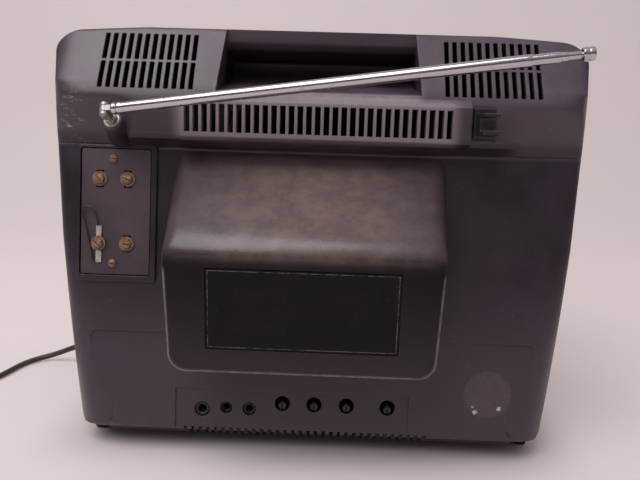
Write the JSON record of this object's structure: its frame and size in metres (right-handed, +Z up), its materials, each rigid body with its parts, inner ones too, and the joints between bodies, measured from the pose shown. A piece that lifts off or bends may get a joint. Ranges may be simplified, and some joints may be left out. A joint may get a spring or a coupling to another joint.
{
  "type": "portable television",
  "caption": "Portable tube television with a recessed carrying grip, telescopic antenna, terminal board, rear controls and moulded front with knobs, screen and speaker.",
  "frame": {"origin": "middle of the base, on the surface that the feet stand on", "axes": "+Z up, -Y towards the screen side, +Y towards the rear cover, +X to the right as seen from the front"},
  "size_m": [0.594, 0.2959, 0.295],
  "materials": {
    "cabinet_plastic": "finely textured dark charcoal plastic, dusty on its upper faces",
    "black_plastic": "satin black moulded plastic",
    "label": "dark satin foil",
    "chrome": "polished chrome plating",
    "plain_steel": "plain plated steel",
    "rusty_steel": "rusted steel",
    "grey_diecast": "dull oxidised die casting",
    "brown_black_phenolic": "dark phenolic board",
    "satin_aluminium": "brushed",
    "rubber": "matt",
    "tube_glass": "grey-green glass",
    "copper": "enamelled copper windings",
    "circuit_board": "bare phenolic circuit board",
    "cord_plastic": "dark warm grey vinyl"
  },
  "bodies": {
    "cabinet": {"rear_cover": "cabinet_plastic", "front_bezel": "cabinet_plastic", "rating_plate": "label", "antenna_clip": "black_plastic", "earphone_jack": "black_plastic", "aux_jack": "black_plastic", "dc_power_jack": "black_plastic", "cover_screw_1": "plain_steel", "cover_screw_2": "plain_steel", "terminal_board": "brown_black_phenolic", "vhf_terminal_screw_left": "rusty_steel", "vhf_terminal_screw_right": "rusty_steel", "uhf_terminal_screw_left": "rusty_steel", "uhf_terminal_screw_right": "rusty_steel", "board_screw_upper": "rusty_steel", "board_screw_lower": "rusty_steel", "terminal_lug": "plain_steel", "terminal_wire": "cord_plastic", "foot_rear_left": "rubber", "foot_rear_right": "rubber", "foot_front_left": "rubber", "foot_front_right": "rubber", "control_panel": "satin_aluminium", "speaker_grille": "black_plastic", "loudspeaker": "plain_steel", "picture_tube": "tube_glass", "tube_rim_band": "plain_steel", "deflection_yoke": "copper", "centering_magnets": "plain_steel", "tube_base": "black_plastic", "neck_socket_board": "circuit_board", "main_circuit_board": "circuit_board", "vhf_tuner": "plain_steel", "uhf_tuner": "plain_steel", "power_transformer": "plain_steel", "flyback_transformer": "black_plastic", "anode_cap": "rubber", "anode_lead": "rubber", "cord_strain_relief": "cord_plastic", "mains_cord": "cord_plastic", "mains_cord_coil": "cord_plastic", "mains_plug": "cord_plastic"},
    "antenna_base": {"antenna_swivel": "grey_diecast", "antenna_hinge_pin": "plain_steel"},
    "antenna_rod": {"antenna_outer_tube": "chrome"},
    "antenna_second": {"antenna_section_2": "chrome"},
    "antenna_third": {"antenna_section_3": "chrome"},
    "antenna_fourth": {"antenna_section_4": "chrome"},
    "antenna_end": {"antenna_tip": "chrome"},
    "vertical_hold": {"vertical_hold_shaft": "black_plastic"},
    "vertical_size": {"vertical_size_shaft": "black_plastic"},
    "vertical_linearity": {"vertical_linearity_shaft": "black_plastic"},
    "horizontal_hold": {"horizontal_hold_shaft": "black_plastic"},
    "vhf_selector": {"vhf_channel_knob": "black_plastic"},
    "uhf_selector": {"uhf_channel_knob": "black_plastic"},
    "volume": {"volume_knob": "black_plastic"},
    "brightness": {"brightness_knob": "black_plastic"},
    "contrast": {"contrast_knob": "black_plastic"},
    "fine_tuning": {"fine_tuning_ring": "satin_aluminium"}
  },
  "joints": [
    {"name": "antenna_turn", "type": "hinge", "parent": "cabinet", "child": "antenna_base", "pos_m": [0.1324, 0.10793, 0.2341], "axis": [0, 0.9063, 0.4226], "range_deg": [-3.9, 176]},
    {"name": "antenna_tilt", "type": "hinge", "parent": "antenna_base", "child": "antenna_rod", "pos_m": [0.1324, 0.10793, 0.2341], "axis": [-0.0615, 0.4218, -0.9046], "range_deg": [-9.6, 81]},
    {"name": "antenna_pull_2", "type": "slide", "parent": "antenna_rod", "child": "antenna_second", "axis": [-0.9842, 0.1253, 0.1253], "range_m": [0, 0.205]},
    {"name": "antenna_pull_3", "type": "slide", "parent": "antenna_second", "child": "antenna_third", "axis": [-0.9842, 0.1253, 0.1253], "range_m": [0, 0.205]},
    {"name": "antenna_pull_4", "type": "slide", "parent": "antenna_third", "child": "antenna_fourth", "axis": [-0.9842, 0.1253, 0.1253], "range_m": [0, 0.205]},
    {"name": "antenna_pull_5", "type": "slide", "parent": "antenna_fourth", "child": "antenna_end", "axis": [-0.9842, 0.1253, 0.1253], "range_m": [0, 0.205]},
    {"name": "vertical_hold_turn", "type": "hinge", "parent": "cabinet", "child": "vertical_hold", "pos_m": [0.0186, 0.08, 0.0368], "axis": [0, -1, 0], "range_deg": [-150, 150]},
    {"name": "vertical_size_turn", "type": "hinge", "parent": "cabinet", "child": "vertical_size", "pos_m": [-0.0034, 0.08, 0.0368], "axis": [0, -1, 0], "range_deg": [-150, 150]},
    {"name": "vertical_linearity_turn", "type": "hinge", "parent": "cabinet", "child": "vertical_linearity", "pos_m": [-0.0258, 0.08, 0.0368], "axis": [0, -1, 0], "range_deg": [-150, 150]},
    {"name": "horizontal_hold_turn", "type": "hinge", "parent": "cabinet", "child": "horizontal_hold", "pos_m": [-0.0541, 0.08, 0.0366], "axis": [0, -1, 0], "range_deg": [-150, 150]},
    {"name": "vhf_selector_turn", "type": "hinge", "parent": "cabinet", "child": "vhf_selector", "pos_m": [0.14, -0.138, 0.222], "axis": [0, 1, 0], "continuous": true},
    {"name": "uhf_selector_turn", "type": "hinge", "parent": "cabinet", "child": "uhf_selector", "pos_m": [0.14, -0.138, 0.172], "axis": [0, 1, 0], "range_deg": [-135, 135]},
    {"name": "volume_turn", "type": "hinge", "parent": "cabinet", "child": "volume", "pos_m": [0.113, -0.138, 0.134], "axis": [0, 1, 0], "range_deg": [0, 300]},
    {"name": "brightness_turn", "type": "hinge", "parent": "cabinet", "child": "brightness", "pos_m": [0.14, -0.138, 0.134], "axis": [0, 1, 0], "range_deg": [-150, 150]},
    {"name": "contrast_turn", "type": "hinge", "parent": "cabinet", "child": "contrast", "pos_m": [0.167, -0.138, 0.134], "axis": [0, 1, 0], "range_deg": [-150, 150]},
    {"name": "fine_tuning_turn", "type": "hinge", "parent": "cabinet", "child": "fine_tuning", "pos_m": [0.14, -0.138, 0.222], "axis": [0, 1, 0], "range_deg": [-90, 90]}
  ]
}
